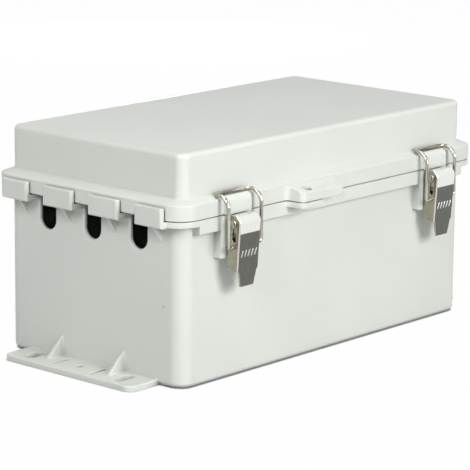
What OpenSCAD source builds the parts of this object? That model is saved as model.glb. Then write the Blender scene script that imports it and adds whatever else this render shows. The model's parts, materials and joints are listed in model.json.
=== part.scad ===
// Cable junction box: a moulded tub with wall feet and three cable slots, a hinged lid with a gasket,
// two wire-bail toggle latches on the long front side and a plate inside with a rail of terminals.
// X runs along the box, the latches face -Y, the hinge is at +Y, the feet stand on z = 0.

/* [Base] */
// Outside length of the tub between its end walls
base_l = 303; // [260:1:360]
// Outside width of the tub between its long walls
base_w = 163.5; // [150:0.5:200]
// Height from the underside of the feet to the parting face
base_h = 114; // [100:1:140]
// Radius of the tub's upright corners
base_corner_r = 11; // [9:0.5:14]
// Rounding of the tub's bottom edge
base_edge_r = 4; // [2:0.5:4.5]
// Thickness of walls, floor and top
wall = 3; // [2:0.25:3.5]

/* [Rim] */
// How far the rim stands out beyond the end walls
rim_end = 8.5; // [7:0.5:12]
// How far the rim stands out beyond the long walls
rim_side = 6.5; // [5.5:0.5:10]
// Corner radius of the rim
rim_corner_r = 16; // [14:0.5:18]
// Thickness of the base's rim
rim_t = 4; // [3:0.5:6]
// Distance of the skirts' ends from the end walls
skirt_in = 10; // [7:0.5:20]
// Height of the skirts below the parting face
skirt_h = 9.7; // [7:0.1:14]
// Thickness of the skirts
skirt_t = 2.5; // [2:0.25:3]
// Height of the sealing tongue on the base's rim
tongue_h = 2.4; // [1.5:0.1:3]
// Thickness of the sealing tongue
tongue_t = 1.8; // [1.2:0.1:2.4]

/* [Lid] */
// Height of the lid above the parting face
lid_h = 43.6; // [35:0.2:70]
// How far the lid's pan stands back from the tub's walls
lid_inset = 1.4; // [0.5:0.1:2]
// Radius of the pan's upright corners
lid_corner_r = 7.5; // [7:0.5:9]
// Rounding of the pan's top edge
lid_edge_r = 3.5; // [2:0.25:3.5]
// Height of the lid's rim where it meets the pan
lid_rim_h = 13.6; // [11:0.2:16]
// How far the rim's top falls from the pan to its outer edge
lid_rim_fall = 2.8; // [1:0.2:4]
// Height of the shadow gap between the two rims
reveal_h = 0.6; // [0.3:0.1:1]
// Depth of the shadow gap
reveal_in = 1.2; // [0.6:0.1:1.6]
// Height of the shadow gap between the blocks of the left end
end_reveal_h = 1; // [0.6:0.1:1.4]
// Depth of the shadow gap between the blocks of the left end
end_reveal_in = 2.2; // [1.2:0.1:2.6]
// Width of the gasket groove
groove_w = 5; // [4:0.25:5.5]
// Depth of the gasket groove
groove_d = 5.5; // [4.5:0.25:6.5]

/* [Cable slots] */
// Width of each cable slot
slot_w = 15.2; // [10:0.2:18]
// Spacing of the cable slots
slot_pitch = 42.6; // [38:0.2:46]
// Height of a slot below the parting face
slot_depth = 24.4; // [18:0.2:40]
// Chamfer round the outside of a slot
slot_chamfer = 0.8; // [0.4:0.1:1.2]
// Height of the blocks beside the slots above the parting face
block_rise = 9; // [6:0.5:11]
// Height of the blocks below the parting face
block_drop = 4.6; // [4.1:0.1:7]
// Thickness of the blocks' upright tongue
block_t = 3.4; // [2.5:0.1:5]
// Width of the end blocks
end_block_w = 24.4; // [18:0.2:26]
// Height of the gussets below the blocks
block_gusset_h = 12; // [6:0.5:18]

/* [Feet] */
// How far the feet stand out beyond the end walls
foot_out = 26.3; // [22:0.1:36]
// Length of a foot along the end wall
foot_w = 121; // [110:1:136]
// Thickness of a foot
foot_t = 4; // [3.25:0.25:6]
// Corner radius of a foot
foot_corner_r = 7; // [4:0.5:10]
// Distance of the fixing slots from the end wall
foot_slot_out = 12.8; // [11:0.1:18]
// Spacing of the two fixing slots of a foot
foot_slot_spacing = 84; // [74:1:90]
// Width of a fixing slot
foot_slot_w = 8; // [5:0.1:9]
// Overall length of a fixing slot
foot_slot_l = 17; // [12:0.5:17.5]
// Spacing of the strap slots
strap_spacing = 36; // [24:1:44]
// Width of a strap slot
strap_w = 2; // [1.5:0.25:3]
// Diameter of the centre hole
centre_hole_d = 5; // [3:0.5:6]
// Spacing of a foot's gussets
foot_gusset_spacing = 58; // [52:1:62]
// Height of a foot's gussets above the foot
foot_gusset_h = 13.5; // [8:0.5:30]
// Reach of a foot's gussets
foot_gusset_out = 15; // [8:0.5:18]
// Thickness of all gussets
gusset_t = 2.6; // [2:0.2:4]

/* [Padlock tab] */
// Place of the tab's middle along the front
tab_x = -31.5; // [-40:0.5:40]
// Width of the lid's tab
tab_w = 45; // [32:1:60]
// Width of the base's shorter tab below the padlock hole
base_tab_w = 24; // [20:1:30]
// How far the tab stands out from the rim
tab_out = 13.5; // [11:0.5:18]
// Thickness of the lid's tab at its front edge
tab_front_t = 7; // [4:0.5:9]
// Diameter of the padlock hole
padlock_d = 6.5; // [4:0.5:8]
// Distance of the padlock hole from the tab's left end
padlock_in = 10.5; // [8:0.5:16]

/* [Hinge] */
// Distance of each hinge from the end wall
hinge_in = 56.5; // [46:0.5:80]
// Outside diameter of the knuckles
knuckle_d = 8.4; // [7:0.2:10]
// Diameter of the hinge pins
hinge_pin_d = 3; // [2.5:0.1:4]
// Length of the lid's knuckle
lid_knuckle_l = 19.2; // [12:0.2:24]
// Length of each base knuckle
base_knuckle_l = 12; // [8:0.5:16]

/* [Latches] */
// Distance of each latch from the end wall
latch_in = 45.2; // [40:0.2:60]
// Width of the moulded boss behind a latch
boss_w = 28.6; // [24:0.2:32]
// Height of the boss below the parting face
boss_h = 29; // [27:0.5:36]
// Thickness of the bracket and lever sheet
sheet_t = 1.2; // [0.8:0.1:1.5]
// Outside width of the lever
lever_w = 21; // [18:0.5:24]
// Length of the lever below its pivot
lever_l = 43; // [36:0.5:54]
// Width of the lever's tip
lever_tip_w = 12.8; // [8:0.2:16]
// Distance of the lever's shoulders from the pivot
lever_shoulder = 32.5; // [28:0.5:35]
// Width of the lever's tongue just below its shoulders
lever_root_w = 18; // [14:0.2:18]
// Radius of the lever's rolled top
lever_roll_r = 5.7; // [4.5:0.1:6]
// Slope of the lever's face towards the box
lever_tilt = 4; // [0:0.5:6]
// Height of the pivot below the parting face
pivot_drop = 4.7; // [4:0.1:8]
// Diameter of the pivot pin
pivot_d = 3; // [2:0.1:3.6]
// Distance of the bail's pivot below the lever's pivot
bail_drop = 15.8; // [14:0.1:18]
// Distance of the bail's pivot in front of the lever's pivot
bail_ahead = 0.5; // [0:0.1:2]
// Diameter of the bail's wire
wire_d = 2.6; // [1.8:0.1:3]
// Width of the bail between the middles of its legs
bail_w = 32.5; // [29:0.5:38]
// Bend radius of the bail's upper corners
bail_bend_r = 3.2; // [2:0.1:4]
// Gap between the bail's crossbar and the wall of the pan
bail_wall_gap = 2.25; // [1:0.05:2.5]
// Width of the keeper on the lid
keeper_w = 24; // [18:0.5:25]
// How far the keeper stands out from the rim
keeper_out = 3.25; // [2:0.05:4]
// How far the keeper's lip stands above the underside of the bail's crossbar
keeper_hold = 0.5; // [0.3:0.05:0.6]

/* [Inside] */
// Gap between the mounting plate and the walls
plate_gap = 14.5; // [12:0.5:30]
// Thickness of the mounting plate
plate_t = 1.6; // [1:0.1:3]
// Corner radius of the mounting plate
plate_corner_r = 6; // [3:0.5:10]
// Height of the floor bosses
floor_boss_h = 8; // [6:0.5:14]
// Diameter of the floor bosses
floor_boss_d = 10; // [9:0.5:12]
// Distance of the plate's screws from the plate's edges
plate_screw_in = 9; // [7:0.5:16]
// Diameter of the plate's screws
plate_screw_d = 4; // [3:0.5:5]
// Length of the terminal rail
rail_l = 200; // [120:5:220]
// Width over the terminal rail's flanges
rail_w = 35; // [30:1:40]
// Height of the terminal rail
rail_h = 7.5; // [6:0.5:15]
// Number of terminal blocks
terminal_count = 10; // [2:1:12]
// Width of one terminal block along the rail
terminal_t = 8; // [5:0.5:9]
// Height of a terminal block above the rail
terminal_h = 33; // [28:1:45]

/* [Hidden] */
$fn = 64;

// Clearances: running fit on a radius, free gap between moving faces, press seat inside one body
run_fit = 0.05;
free_gap = 0.4;
seat_gap = 0.05;
// Overlap that lets two solids of one piece merge, and overshoot of a cut
bite = 1;
over = 2;

// Rim outline shared by base and lid
rim_l = base_l + 2 * rim_end;
rim_w = base_w + 2 * rim_side;
front_y = -rim_w / 2;
back_y = rim_w / 2;
lid_rim_top = base_h + lid_rim_h;
rim_edge_top = lid_rim_top - lid_rim_fall;
rim_slope_run = rim_side + lid_inset;
rim_slope = atan2(lid_rim_fall, rim_slope_run);
skirt_l = base_l - 2 * skirt_in;

// Pan of the lid
pan_l = base_l - 2 * lid_inset;
pan_w = base_w - 2 * lid_inset;

// Gasket groove and tongue, measured outward from the tub's walls
tongue_mid = 1;
groove_in = tongue_mid - groove_w / 2;
tongue_in = tongue_mid - tongue_t / 2;
tongue_gap = 0.2;

// Blocks on the left end, clear of the lid's rim and flush with the slots
block_clear = 1;
block_face_x = rim_l / 2 + block_clear + block_t;
block_round_r = 2;
end_block_y = slot_pitch + slot_w / 2 + end_block_w / 2;
mid_block_w = slot_pitch - slot_w;
gusset_y = [for (side = [-1, 1], y = [slot_pitch / 2, end_block_y]) side * y];

// Feet
foot_l = base_l + 2 * foot_out;
foot_edge_r = 1;
foot_slot_x = base_l / 2 + foot_slot_out;
foot_gusset_sink = 0.5;

// Padlock tab
tab_step = 0.1;
tab_corner_r = 4;
tab_root_r = 4;
padlock_ahead = 1;
padlock_x = tab_x - tab_w / 2 + padlock_in;
padlock_y = front_y - tab_out / 2 - padlock_ahead;

// Hinge axis, just behind the rim on the parting face
hinge_gap = 0.55;
hinge_spacing = base_l - 2 * hinge_in;
hinge_y = back_y + knuckle_d / 2 + hinge_gap;
hinge_z = base_h;
hinge_pin_l = lid_knuckle_l + 2 * (base_knuckle_l + free_gap);

// Latch pivots seen from the side: the lever turns in front of the bracket's plate
latch_spacing = base_l - 2 * latch_in;
bracket_y = front_y - sheet_t;
roll_gap = 0.35;
pivot_y = bracket_y - roll_gap - lever_roll_r;
pivot_z = base_h - pivot_drop;
bail_y = pivot_y - bail_ahead;
bail_z = pivot_z - bail_drop;

// Bail: its crossbar lies on the rim's slope behind the keeper's lip
wire_r = wire_d / 2;
hook_gap = 0.3;
hook_y = -pan_w / 2 - bail_wall_gap - wire_r;
hook_rest_z = rim_edge_top + (hook_y - front_y) * lid_rim_fall / rim_slope_run;
hook_step = 0.05;
hook_z = ceil((hook_rest_z + (wire_r + hook_gap) / cos(rim_slope)) / hook_step) * hook_step;
bail_arc_r = hook_y - bail_bend_r - bail_y;
bail_foot_r = 2.5;
bail_end_in = 0.9;
bail_end_x = lever_w / 2 - sheet_t - bail_end_in;

// Lever: back edge of its cheeks, slope of its face and end of its rolled top
lever_back_gap = 0.5;
lever_back_y = bracket_y - lever_back_gap;
lever_slope = tan(lever_tilt);
lever_chamfer = 2.5;
roll_end = 75;

// Window in each cheek between the eyes of the pivot and of the bail
window_w = 3.2;
eye_wall = 1.9;
window_top = pivot_z - pivot_d / 2 - eye_wall;
window_low = bail_z + wire_r + eye_wall;

// Bracket: ears inside the lever's cheeks, with a web below each eye
ear_x = lever_w / 2 - sheet_t - free_gap;
ear_r = 4.2;
ear_web_top = -50;
ear_web_low = -40;
ear_web_fall = 1.1;
bracket_drop = 22.3;
bracket_foot = pivot_z - bracket_drop;
bracket_top_gap = 2;
bracket_top = base_h - bracket_top_gap;
pin_head_r = 2.6;
pin_head_t = 1.1;
pin_head_gap = 0.3;
pin_head_x = lever_w / 2 + pin_head_gap;
bracket_screw_d = 3;
bracket_screw_l = 6.5;
bracket_screw_rise = [4.5, 13];
screw_head_r = 2.8;
screw_head_t = 1.4;

// Keeper: a rounded nose whose lip ends in front of the bail's crossbar
keeper_r = 5;
keeper_room = 2.3;
keeper_back_y = hook_y - wire_r - keeper_room;

// Mounting plate and its fasteners
floor_boss_z = wall + floor_boss_h;
plate_z = floor_boss_z;
plate_l = base_l - 2 * wall - 2 * plate_gap;
plate_w = base_w - 2 * wall - 2 * plate_gap;
plate_screw_x = plate_l / 2 - plate_screw_in;
plate_screw_y = plate_w / 2 - plate_screw_in;
plate_hole_play = 0.5;
insert_wall = 0.9;
insert_floor = 1;
insert_d = plate_screw_d + 2 * insert_wall;
insert_l = floor_boss_h - insert_floor;
washer_ratio = 2.4;
washer_d = washer_ratio * plate_screw_d;
washer_t = 0.8;
washer_play = 0.3;
head_ratio = 1.9;
head_height_ratio = 0.6;
plate_head_d = head_ratio * plate_screw_d;
plate_head_t = head_height_ratio * plate_screw_d;
screw_end_gap = 1;

// Terminal rail: a top-hat section on the plate, held by screws that pass through the plate
rail_z = plate_z + plate_t;
rail_top = rail_z + rail_h;
rail_sheet = 1;
rail_flange_w = 4;
rail_channel_w = rail_w - 2 * rail_flange_w;
rail_screw_share = 0.4;
rail_screw_x = rail_screw_share * rail_l;
rail_screw_below = 3;

// Terminal block seen along the rail: a foot that grips the flanges, shoulders with screws and a top
terminal_gap = 0.1;
terminal_grip = 3.5;
terminal_foot_w = rail_w + 2 * terminal_grip;
terminal_foot_h = 3;
terminal_lip = 2;
terminal_shoulder = 18;
terminal_slope = 6;
terminal_narrow = 3.5;
terminal_top_w = rail_w - 2 * terminal_narrow;
terminal_pitch = terminal_t + terminal_gap;
terminal_row_l = terminal_count * terminal_pitch;
terminal_screw_y = (terminal_foot_w + terminal_top_w) / 4;
terminal_screw_d = 4;
terminal_screw_l = 5;
terminal_bore_depth = 9;
terminal_slit_w = 0.8;
wire_entry_d = 5;
wire_entry_z = 9;
wire_entry_depth = 10;
stop_t = 9;
stop_h = 24;

// Colours
plastic = [0.80, 0.82, 0.79];
steel = [0.62, 0.61, 0.57];
rubber = [0.12, 0.12, 0.12];
zinc = [0.70, 0.71, 0.72];
brass = [0.78, 0.62, 0.30];
terminal_grey = [0.52, 0.54, 0.55];

// Plain rectangle with round corners
module rounded_rect(l, w, r) {
    square([l - 2 * r, w], center = true);
    square([l, w - 2 * r], center = true);
    for (sx = [-1, 1], sy = [-1, 1])
        translate([sx * (l / 2 - r), sy * (w / 2 - r)])
            circle(r);
}

module slab(l, w, h, r) {
    linear_extrude(height = h)
        rounded_rect(l, w, r);
}

// Cross-section of a block whose two lower edges are rounded
module edge_profile(w, h, e) {
    translate([-w / 2, e])
        square([w, h - e]);
    translate([-w / 2 + e, 0])
        square([w - 2 * e, h]);
    for (side = [-1, 1])
        translate([side * (w / 2 - e), e])
            circle(e);
}

// Half cross-section of an upright corner post with a rounded foot
module corner_profile(r, h, e) {
    translate([0, e])
        square([r, h - e]);
    square([r - e, h]);
    translate([r - e, e])
        intersection() {
            circle(e);
            translate([0, -e])
                square([e, 2 * e]);
        }
}

// Block with round upright corners and a rounded edge all round its foot
module soft_block(l, w, h, r, e) {
    rotate([90, 0, 90])
        linear_extrude(height = l - 2 * r, center = true)
            edge_profile(w, h, e);
    rotate([90, 0, 0])
        linear_extrude(height = w - 2 * r, center = true)
            edge_profile(l, h, e);
    for (sx = [-1, 1], sy = [-1, 1])
        translate([sx * (l / 2 - r), sy * (w / 2 - r), 0])
            rotate_extrude()
                corner_profile(r, h, e);
}

// The same block standing on its head, with its rounded edge at height h
module soft_top_block(l, w, h, r, e) {
    translate([0, 0, h])
        mirror([0, 0, 1])
            soft_block(l, w, h, r, e);
}

// Cross-section of a block whose top falls away to a lower edge on both sides
module slope_profile(w, h, run, fall) {
    polygon([
        [-w / 2, 0],
        [w / 2, 0],
        [w / 2, h - fall],
        [w / 2 - run, h],
        [-w / 2 + run, h],
        [-w / 2, h - fall]
    ]);
}

// Block with round upright corners whose top falls away to a lower edge all round
module sloped_block(l, w, h, r, run, fall) {
    rotate([90, 0, 90])
        linear_extrude(height = l - 2 * r, center = true)
            slope_profile(w, h, run, fall);
    rotate([90, 0, 0])
        linear_extrude(height = w - 2 * r, center = true)
            slope_profile(l, h, run, fall);
    for (sx = [-1, 1], sy = [-1, 1])
        translate([sx * (l / 2 - r), sy * (w / 2 - r), 0])
            rotate_extrude()
                polygon([
                    [0, 0],
                    [r, 0],
                    [r, h - fall],
                    [r - run, h],
                    [0, h]
                ]);
}

// Bar with a YZ cross-section, centred on x
module along_x(x, length) {
    translate([x, 0, 0])
        rotate([90, 0, 90])
            linear_extrude(height = length, center = true)
                children();
}

// Plate with an XZ cross-section, centred on y
module along_y(y, width) {
    translate([0, y, 0])
        rotate([90, 0, 0])
            linear_extrude(height = width, center = true)
                children();
}

// Round bar along X between two places
module bar_x(x0, x1, y, z, r) {
    translate([x0, y, z])
        rotate([0, 90, 0])
            cylinder(h = x1 - x0, r = r);
}

module at_latch(side) {
    translate([side * latch_spacing / 2, 0, 0])
        children();
}

module at_foot_holes(spacing) {
    for (sx = [-1, 1], sy = [-1, 1])
        translate([sx * foot_slot_x, sy * spacing / 2, 0])
            children();
}

module at_plate_screws() {
    for (sx = [-1, 1], sy = [-1, 1])
        translate([sx * plate_screw_x, sy * plate_screw_y, 0])
            children();
}

module at_rail_screws() {
    for (side = [-1, 1])
        translate([side * rail_screw_x, 0, 0])
            children();
}

// Places of the terminal blocks along the rail
module at_terminals() {
    for (i = [0 : terminal_count - 1])
        translate([(i - (terminal_count - 1) / 2) * terminal_pitch, 0, rail_top])
            children();
}

// Long hole along X through a foot
module long_hole(length, width) {
    translate([0, 0, -over])
        linear_extrude(height = foot_t + 2 * over) {
            square([length - width, width], center = true);
            for (side = [-1, 1])
                translate([side * (length - width) / 2, 0])
                    circle(d = width);
        }
}

// Outline of a tab seen from above, from the padlock end and reaching back into the rim
module tab_plan(width) {
    translate([tab_x - tab_w / 2, front_y - tab_out]) {
        translate([0, tab_corner_r])
            square([width, tab_out - tab_corner_r + bite]);
        translate([tab_corner_r, 0])
            square([width - 2 * tab_corner_r, tab_out]);
        for (x = [tab_corner_r, width - tab_corner_r])
            translate([x, tab_corner_r])
                circle(tab_corner_r);
        tab_root();
        translate([width, 0])
            mirror([1, 0])
                tab_root();
    }
}

// Hollow curve that leads from the rim into the end of a tab
module tab_root() {
    difference() {
        translate([-tab_root_r, tab_out - tab_root_r])
            square([tab_root_r + bite, tab_root_r + bite]);
        translate([-tab_root_r, tab_out - tab_root_r])
            circle(tab_root_r);
    }
}

module padlock_hole() {
    translate([padlock_x, padlock_y, base_h - rim_t - over])
        cylinder(h = rim_t + lid_rim_h + 2 * over, d = padlock_d);
}

// Ring outline at a distance outside the tub's walls
module wall_ring(inner, outer, h) {
    difference() {
        slab(base_l + 2 * outer, base_w + 2 * outer, h, base_corner_r + outer);
        translate([0, 0, -over])
            slab(base_l + 2 * inner, base_w + 2 * inner, h + 2 * over, base_corner_r + inner);
    }
}

// Upright block on the left end: a bracket-shaped bar that carries the rim past the lid
module end_block(y, width) {
    low = base_h - block_drop;
    intersection() {
        along_y(y, width) {
            translate([-block_face_x + block_round_r, low])
                square([block_face_x - base_l / 2 - block_round_r + bite, block_drop]);
            translate([-block_face_x, low + block_round_r])
                square([block_t, block_drop + block_rise - block_round_r]);
            translate([-block_face_x + block_round_r, low + block_round_r])
                circle(block_round_r);
        }
        translate([-block_face_x, y, low - over])
            linear_extrude(height = block_drop + block_rise + 2 * over) {
                translate([block_round_r, -width / 2])
                    square([rim_end * 2, width]);
                translate([0, -width / 2 + block_round_r])
                    square([block_t, width - 2 * block_round_r]);
                for (side = [-1, 1])
                    translate([block_round_r, side * (width / 2 - block_round_r)])
                        circle(block_round_r);
            }
    }
}

// Gusset that ties a block to the end wall
module block_gusset(y) {
    top = base_h - block_drop;
    along_y(y, gusset_t)
        polygon([
            [-base_l / 2 + bite, top + bite],
            [-rim_l / 2, top + bite],
            [-rim_l / 2, top],
            [-base_l / 2, top - block_gusset_h],
            [-base_l / 2 + bite, top - block_gusset_h]
        ]);
}

// Gusset that ties a foot to the end wall
module foot_gusset(side, y) {
    x = base_l / 2;
    along_y(y, gusset_t)
        polygon([
            [side * (x - bite), foot_t - foot_gusset_sink],
            [side * (x + foot_gusset_out), foot_t - foot_gusset_sink],
            [side * (x + foot_gusset_out), foot_t],
            [side * x, foot_t + foot_gusset_h],
            [side * (x - bite), foot_t + foot_gusset_h]
        ]);
}

// Cable slot through the left wall and the rim, open at the parting face
module cable_slot(y) {
    start = rim_l / 2 + over;
    depth = start - base_l / 2 + wall + over;
    round_z = base_h - slot_depth + slot_w / 2;
    translate([-start, y, round_z]) {
        rotate([0, 90, 0])
            cylinder(h = depth, d = slot_w);
        translate([0, -slot_w / 2, 0])
            cube([depth, slot_w, base_h + tongue_h + over - round_z]);
    }
    translate([-base_l / 2 - bite, y, round_z])
        slot_mouth(base_h - block_drop - round_z);
}

// Chamfer of a cable slot, round its lower end and up both sides
module slot_mouth(height) {
    half = slot_w / 2;
    reach = slot_chamfer + bite;
    rotate([0, 90, 0])
        cylinder(h = reach, r1 = half + reach, r2 = half);
    linear_extrude(height = height)
        polygon([
            [0, -half - reach],
            [reach, -half],
            [reach, half],
            [0, half + reach]
        ]);
}

// Skirt below the rim on one long side, with its two closed ends
module skirt(side) {
    low = base_h - skirt_h;
    height = skirt_h - rim_t + bite;
    end_y = side > 0 ? base_w / 2 - bite : front_y;
    face_y = side > 0 ? back_y - skirt_t : front_y;
    for (x = [-1, 1])
        translate([x * (skirt_l - skirt_t) / 2 - skirt_t / 2, end_y, low])
            cube([skirt_t, rim_side + bite, height]);
    translate([-skirt_l / 2, face_y, low])
        cube([skirt_l, skirt_t, height]);
}

// Base half of one hinge: two knuckles on webs that grow from the rim
module base_knuckles(x) {
    for (side = [-1, 1]) {
        near = lid_knuckle_l / 2 + free_gap;
        mid = x + side * (near + base_knuckle_l / 2);
        bar_x(mid - base_knuckle_l / 2, mid + base_knuckle_l / 2, hinge_y, hinge_z, knuckle_d / 2);
        along_x(mid, base_knuckle_l)
            polygon([
                [back_y - bite, hinge_z - skirt_h],
                [back_y, hinge_z - skirt_h],
                [hinge_y + knuckle_d / 2, hinge_z],
                [back_y - bite, hinge_z]
            ]);
    }
}

// Lid half of one hinge
module lid_knuckle(x) {
    bar_x(x - lid_knuckle_l / 2, x + lid_knuckle_l / 2, hinge_y, hinge_z, knuckle_d / 2);
    along_x(x, lid_knuckle_l)
        polygon([
            [back_y - bite, hinge_z],
            [hinge_y + knuckle_d / 2, hinge_z],
            [back_y, rim_edge_top],
            [back_y - bite, rim_edge_top]
        ]);
}

module hinge_bores(r) {
    reach = hinge_pin_l / 2 + over;
    for (side = [-1, 1])
        translate([side * hinge_spacing / 2, 0, 0])
            bar_x(-reach, reach, hinge_y, hinge_z, r);
}

// Moulded boss that carries a latch, flush with the skirt
module latch_boss() {
    translate([-boss_w / 2, front_y, base_h - boss_h])
        cube([boss_w, rim_side + bite, boss_h - rim_t + bite]);
}

module bracket_screw_bores(r, length) {
    for (rise = bracket_screw_rise)
        translate([0, front_y - over, bracket_foot + rise])
            rotate([-90, 0, 0])
                cylinder(h = length + over, r = r);
}

module base_shell() {
    color(plastic)
        difference() {
            union() {
                soft_block(base_l, base_w, base_h, base_corner_r, base_edge_r);
                translate([0, 0, base_h - rim_t])
                    slab(rim_l, rim_w, rim_t, rim_corner_r);
                translate([0, 0, base_h - bite])
                    wall_ring(tongue_in, tongue_in + tongue_t, tongue_h + bite);
                soft_top_block(foot_l, foot_w, foot_t, foot_corner_r, foot_edge_r);
                for (side = [-1, 1]) {
                    skirt(side);
                    base_knuckles(side * hinge_spacing / 2);
                    at_latch(side)
                        latch_boss();
                    end_block(side * slot_pitch / 2, mid_block_w);
                    end_block(side * end_block_y, end_block_w);
                    for (y = [-1, 1])
                        foot_gusset(side, y * foot_gusset_spacing / 2);
                }
                for (y = gusset_y)
                    block_gusset(y);
                translate([0, 0, base_h - rim_t])
                    linear_extrude(height = rim_t)
                        tab_plan(base_tab_w);
            }
            difference() {
                translate([0, 0, wall])
                    soft_block(base_l - 2 * wall, base_w - 2 * wall, base_h, base_corner_r - wall,
                        base_edge_r / 2);
                at_plate_screws()
                    cylinder(h = floor_boss_z, d = floor_boss_d);
            }
            for (i = [-1, 0, 1])
                cable_slot(i * slot_pitch);
            at_foot_holes(foot_slot_spacing)
                long_hole(foot_slot_l, foot_slot_w);
            at_foot_holes(strap_spacing)
                long_hole(foot_slot_l, strap_w);
            for (side = [-1, 1]) {
                translate([side * foot_slot_x, 0, -over])
                    cylinder(h = foot_t + 2 * over, d = centre_hole_d);
                at_latch(side)
                    bracket_screw_bores(bracket_screw_d / 2 + seat_gap, bracket_screw_l);
            }
            at_plate_screws()
                translate([0, 0, floor_boss_z - insert_l])
                    cylinder(h = insert_l + over, d = insert_d + 2 * seat_gap);
            padlock_hole();
            hinge_bores(hinge_pin_d / 2 + seat_gap);
        }
}

// Nose on the lid's rim that a bail hooks behind
module keeper() {
    lip_z = hook_z - wire_r + keeper_hold;
    nose_y = front_y - keeper_out;
    along_x(0, keeper_w) {
        intersection() {
            translate([nose_y + keeper_r, lip_z - keeper_r])
                circle(keeper_r);
            translate([nose_y, lip_z - keeper_r])
                square([keeper_back_y - nose_y, keeper_r]);
        }
        translate([nose_y, base_h])
            square([keeper_back_y - nose_y, lip_z - keeper_r - base_h]);
    }
}

// Underside of the lid that meets the base, drawn in all round by the shadow gap
module rim_seat() {
    rounded_rect(rim_l - 2 * reveal_in, rim_w - 2 * reveal_in, rim_corner_r - reveal_in);
    translate([tab_x - tab_w / 2 + reveal_in, front_y - tab_out + reveal_in])
        square([tab_w - 2 * reveal_in, tab_out]);
}

// Shadow gap round the lid's lower edge, ending in front of the hinge knuckles and higher at the left end
module shadow_gap() {
    low_y = front_y - tab_out - over;
    translate([0, 0, base_h - over])
        linear_extrude(height = over + reveal_h)
            difference() {
                translate([-rim_l / 2 - over, low_y])
                    square([rim_l + 2 * over, back_y + hinge_gap / 2 - low_y]);
                rim_seat();
            }
    translate([-rim_l / 2 - over, -end_block_y, base_h - over])
        cube([over + end_reveal_in, 2 * end_block_y, over + end_reveal_h]);
}

module lid_shell() {
    color(plastic)
        difference() {
            union() {
                translate([0, 0, base_h])
                    soft_top_block(pan_l, pan_w, lid_h, lid_corner_r, lid_edge_r);
                translate([0, 0, base_h])
                    sloped_block(rim_l, rim_w, lid_rim_h, rim_corner_r, rim_slope_run, lid_rim_fall);
                for (side = [-1, 1]) {
                    at_latch(side)
                        keeper();
                    lid_knuckle(side * hinge_spacing / 2);
                }
                intersection() {
                    translate([0, 0, base_h])
                        linear_extrude(height = lid_rim_h)
                            tab_plan(tab_w);
                    along_x(tab_x, tab_w + 2 * (tab_root_r + over))
                        polygon([
                            [front_y + bite, base_h],
                            [front_y - tab_out, base_h],
                            [front_y - tab_out, base_h + tab_front_t],
                            [front_y, rim_edge_top - tab_step],
                            [front_y + bite, rim_edge_top - tab_step]
                        ]);
                }
            }
            translate([0, 0, base_h - over])
                soft_top_block(pan_l - 2 * wall, pan_w - 2 * wall, lid_h - wall + over,
                    lid_corner_r - wall, lid_edge_r / 2);
            translate([0, 0, base_h - over])
                wall_ring(groove_in, groove_in + groove_w, groove_d + over);
            shadow_gap();
            padlock_hole();
            hinge_bores(hinge_pin_d / 2 + run_fit);
        }
}

// Gasket in the upper part of the lid's groove
module lid_gasket() {
    low = base_h + tongue_h + tongue_gap;
    color(rubber)
        translate([0, 0, low])
            wall_ring(groove_in + seat_gap, groove_in + groove_w - seat_gap, base_h + groove_d - low);
}

module hinge_pin(side) {
    color(steel)
        translate([side * hinge_spacing / 2, 0, 0])
            bar_x(-hinge_pin_l / 2, hinge_pin_l / 2, hinge_y, hinge_z, hinge_pin_d / 2);
}

// Side outline of a bracket ear about the pivot: an eye on a web that slopes down to the back plate
module ear_side() {
    reach = front_y - pivot_y;
    fall = reach * ear_web_fall;
    circle(ear_r);
    polygon([
        [ear_r * cos(ear_web_top), ear_r * sin(ear_web_top)],
        [reach, -fall],
        [reach, -fall - 2 * ear_r],
        [-ear_r * cos(ear_web_low), ear_r * sin(ear_web_low)]
    ]);
}

// Bracket: a back plate on the boss and two ears for the pivot pin
module latch_bracket(side) {
    color(steel)
        at_latch(side)
            difference() {
                union() {
                    translate([-ear_x, bracket_y, bracket_foot])
                        cube([2 * ear_x, sheet_t, bracket_top - bracket_foot]);
                    for (end = [-1, 1])
                        along_x(end * (ear_x - sheet_t / 2), sheet_t)
                            translate([pivot_y, pivot_z])
                                ear_side();
                }
                bar_x(-lever_w, lever_w, pivot_y, pivot_z, pivot_d / 2 + seat_gap);
                bracket_screw_bores(bracket_screw_d / 2 + seat_gap, bracket_screw_l);
            }
}

// Pivot pin with a formed head at each end
module latch_pivot_pin(side) {
    end_x = pin_head_x + pin_head_t;
    color(steel)
        at_latch(side) {
            bar_x(-end_x, end_x, pivot_y, pivot_z, pivot_d / 2);
            for (start = [-end_x, pin_head_x])
                bar_x(start, start + pin_head_t, pivot_y, pivot_z, pin_head_r);
        }
}

// Side outline of the lever about its pivot: a round top over cheeks that narrow to the shoulders
module lever_side() {
    back = lever_back_y - pivot_y;
    circle(lever_roll_r);
    polygon([
        [-lever_roll_r, 0],
        [back, 0],
        [back, -lever_shoulder + lever_chamfer],
        [-lever_roll_r + lever_slope * lever_shoulder, -lever_shoulder]
    ]);
}

// Side outline of the hollow behind the lever's sheet, open towards the box and past the shoulders
module lever_hollow() {
    front = -lever_roll_r + sheet_t;
    deep = lever_shoulder + 2 * over;
    circle(lever_roll_r - sheet_t);
    polygon([
        [front, 0],
        [lever_roll_r + over, 0],
        [lever_roll_r + over, -deep],
        [front + lever_slope * deep, -deep]
    ]);
    translate([lever_roll_r * cos(roll_end), -over])
        square([2 * lever_roll_r, lever_roll_r + 2 * over]);
}

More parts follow.
